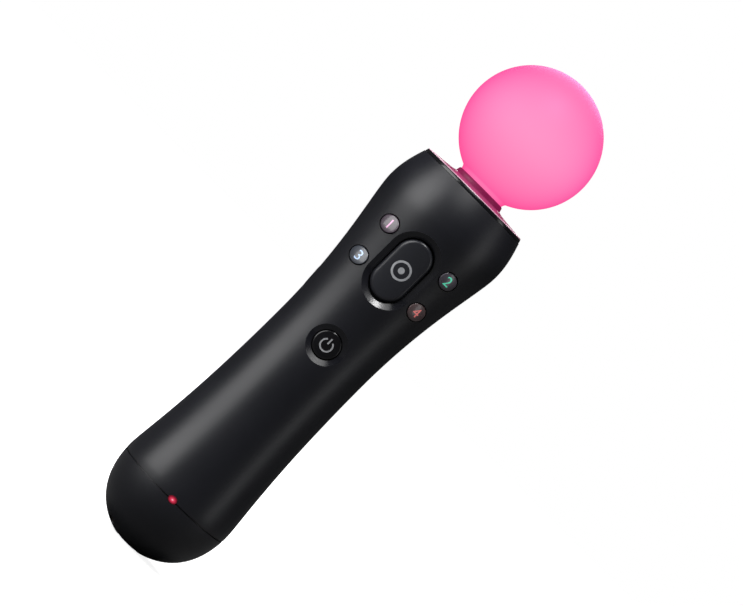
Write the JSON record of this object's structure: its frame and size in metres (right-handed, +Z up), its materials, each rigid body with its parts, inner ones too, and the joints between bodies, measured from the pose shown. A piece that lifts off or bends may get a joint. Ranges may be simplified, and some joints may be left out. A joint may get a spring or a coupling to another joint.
{
  "type": "motion controller wand",
  "caption": "Handheld motion controller wand with a glowing soft ball on top, a waisted black handle, thumb buttons on the front and a trigger behind.",
  "frame": {"origin": "centre of the flat foot under the rounded base", "axes": "+Z up along the wand to the ball, -Y towards the thumb buttons, +Y towards the trigger, +X to the right seen from the buttons"},
  "size_m": [0.046, 0.046, 0.2],
  "materials": {
    "body_black": "satin",
    "gloss_black": "polished",
    "button_black": "satin",
    "smoke_dome": "polished",
    "glowing_ball": "frosted, lit from inside",
    "clear_lens": "clear",
    "red_light": "clear, lit",
    "inner_plastic": "moulded",
    "board_green": "solder mask",
    "grey_rubber": "moulded",
    "bright_steel": "plain",
    "contact_gold": "plated",
    "flex_amber": "smooth",
    "battery_wrap": "shrink wrap",
    "lead_cover": "smooth"
  },
  "bodies": {
    "wand": {"light_ball": "glowing_ball", "top_collar": "gloss_black", "front_shell": "body_black", "rear_shell": "body_black", "end_cap": "body_black", "neck_ring": "gloss_black", "button_membrane": "grey_rubber", "chassis": "inner_plastic", "main_board": "board_green", "board_chips": "inner_plastic", "shield_can": "bright_steel", "antenna": "contact_gold", "board_screws": "bright_steel", "housing_screws": "bright_steel", "battery_pack": "battery_wrap", "battery_socket": "inner_plastic", "battery_plug": "inner_plastic", "battery_leads": "lead_cover", "motor_can": "bright_steel", "motor_boot": "grey_rubber", "motor_leads": "lead_cover", "trigger_pin": "bright_steel", "trigger_bracket": "inner_plastic", "bracket_screws": "bright_steel", "trigger_spring": "bright_steel", "trigger_board": "board_green", "trigger_pad": "grey_rubber", "left_side_switch": "inner_plastic", "right_side_switch": "inner_plastic", "reset_switch": "inner_plastic", "led_board": "board_green", "rgb_led": "clear_lens", "led_lens": "clear_lens", "led_flex": "flex_amber", "collar_screws": "bright_steel", "status_light": "red_light", "status_led": "red_light", "port_board": "board_green", "usb_shell": "bright_steel", "usb_tongue": "inner_plastic", "extension_socket": "inner_plastic", "charge_contacts": "contact_gold", "port_flex": "flex_amber"},
    "large_button_body": {"large_button": "button_black"},
    "upper_left_button_body": {"upper_left_button": "smoke_dome"},
    "lower_left_button_body": {"lower_left_button": "smoke_dome"},
    "upper_right_button_body": {"upper_right_button": "smoke_dome"},
    "lower_right_button_body": {"lower_right_button": "smoke_dome"},
    "home_button_body": {"home_button": "gloss_black"},
    "left_side_button_body": {"left_side_button": "body_black", "left_switch_plunger": "lead_cover"},
    "right_side_button_body": {"right_side_button": "body_black", "right_switch_plunger": "lead_cover"},
    "reset_button_body": {"reset_button": "inner_plastic"},
    "trigger_body": {"trigger": "body_black"},
    "motor_rotor": {"motor_shaft": "bright_steel", "motor_weight": "bright_steel"}
  },
  "joints": [
    {"name": "large_button_press", "type": "slide", "parent": "wand", "child": "large_button_body", "axis": [0, 1, 0], "range_m": [0, 0.001], "stiffness_N_per_m": 500, "springref_m": -0.001, "deforming": ["button_membrane"]},
    {"name": "upper_left_button_press", "type": "slide", "parent": "wand", "child": "upper_left_button_body", "axis": [0, 1, 0], "range_m": [0, 0.0009], "stiffness_N_per_m": 500, "springref_m": -0.001, "deforming": ["button_membrane"]},
    {"name": "lower_left_button_press", "type": "slide", "parent": "wand", "child": "lower_left_button_body", "axis": [0, 1, 0], "range_m": [0, 0.0009], "stiffness_N_per_m": 500, "springref_m": -0.001, "deforming": ["button_membrane"]},
    {"name": "upper_right_button_press", "type": "slide", "parent": "wand", "child": "upper_right_button_body", "axis": [0, 1, 0], "range_m": [0, 0.0009], "stiffness_N_per_m": 500, "springref_m": -0.001, "deforming": ["button_membrane"]},
    {"name": "lower_right_button_press", "type": "slide", "parent": "wand", "child": "lower_right_button_body", "axis": [0, 1, 0], "range_m": [0, 0.0009], "stiffness_N_per_m": 500, "springref_m": -0.001, "deforming": ["button_membrane"]},
    {"name": "home_button_press", "type": "slide", "parent": "wand", "child": "home_button_body", "axis": [0, 1, 0], "range_m": [0, 0.0005], "stiffness_N_per_m": 500, "springref_m": -0.001, "deforming": ["button_membrane"]},
    {"name": "left_side_button_press", "type": "slide", "parent": "wand", "child": "left_side_button_body", "axis": [1, 0, 0], "range_m": [0, 0.0005], "stiffness_N_per_m": 500, "springref_m": -0.001},
    {"name": "right_side_button_press", "type": "slide", "parent": "wand", "child": "right_side_button_body", "axis": [-1, 0, 0], "range_m": [0, 0.0005], "stiffness_N_per_m": 500, "springref_m": -0.001},
    {"name": "reset_button_press", "type": "slide", "parent": "wand", "child": "reset_button_body", "axis": [0, -1, 0], "range_m": [0, 0.00025], "stiffness_N_per_m": 500, "springref_m": -0.001},
    {"name": "trigger_pull", "type": "hinge", "parent": "wand", "child": "trigger_body", "pos_m": [0, 0.0166, 0.1278], "axis": [-1, 0, 0], "range_deg": [0, 12], "stiffness_Nm_per_rad": 0.15, "springref_deg": -11.46, "deforming": ["trigger_spring", "trigger_pad"]},
    {"name": "motor_spin", "type": "hinge", "parent": "wand", "child": "motor_rotor", "pos_m": [0.0085, 0.0069, 0.0375], "axis": [1, 0, 0], "continuous": true}
  ]
}
